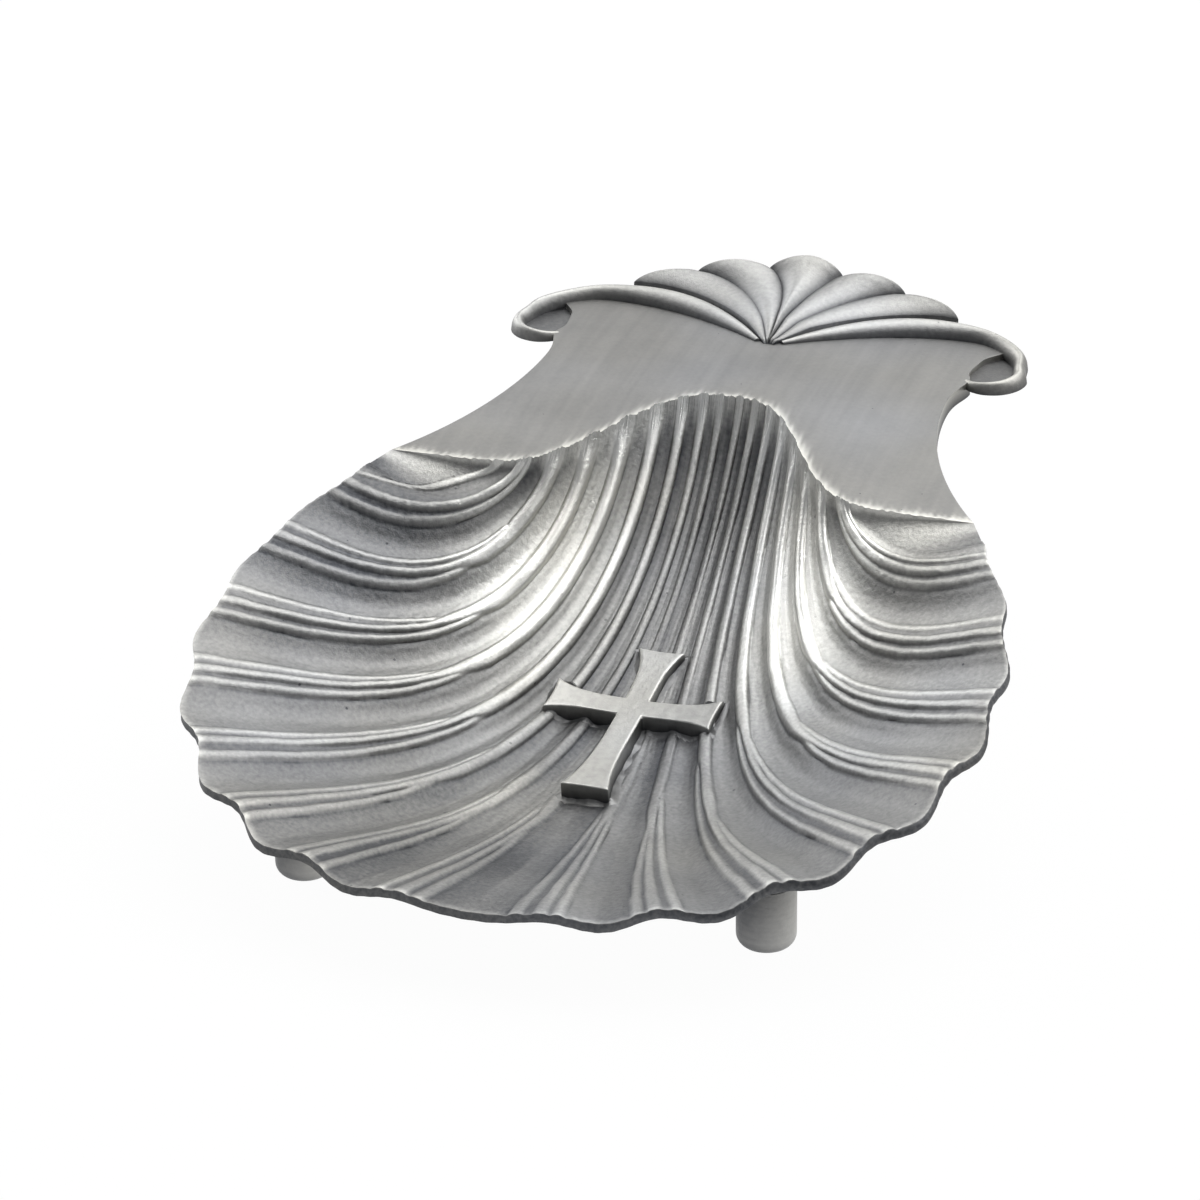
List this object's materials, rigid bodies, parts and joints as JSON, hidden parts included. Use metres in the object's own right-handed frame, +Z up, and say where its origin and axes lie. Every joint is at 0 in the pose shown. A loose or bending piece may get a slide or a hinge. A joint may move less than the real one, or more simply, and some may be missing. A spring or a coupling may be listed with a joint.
{
  "type": "baptismal shell",
  "caption": "Scallop-shaped baptismal shell in oxidised silver finish: ribbed bowl on peg feet, arched handle plate with a palmette crest between scrolls, and a flared cross lying in the bowl.",
  "frame": {"origin": "on the table under the middle of the whole shell", "axes": "X across the shell, +Y from the pouring lip to the crest, +Z up"},
  "size_m": [0.1328, 0.1722, 0.0585],
  "materials": {
    "bowl_metal": "cast, silver plated and oxidised, ridges polished",
    "plate_metal": "satin brushed silver plate",
    "crest_metal": "polished silver plate with dark hollows",
    "cross_metal": "satin silver plate, dark sides",
    "foot_metal": "turned, satin silver plate",
    "fixing_metal": "plain turned brass"
  },
  "bodies": {
    "root": {"shell_bowl": "bowl_metal", "handle_plate": "plate_metal", "crest_palmette": "crest_metal", "left_scroll": "crest_metal", "right_scroll": "crest_metal", "cross": "cross_metal", "cross_pins": "fixing_metal", "front_left_foot": "foot_metal", "front_right_foot": "foot_metal", "rear_foot": "foot_metal", "foot_studs": "fixing_metal"}
  },
  "joints": []
}
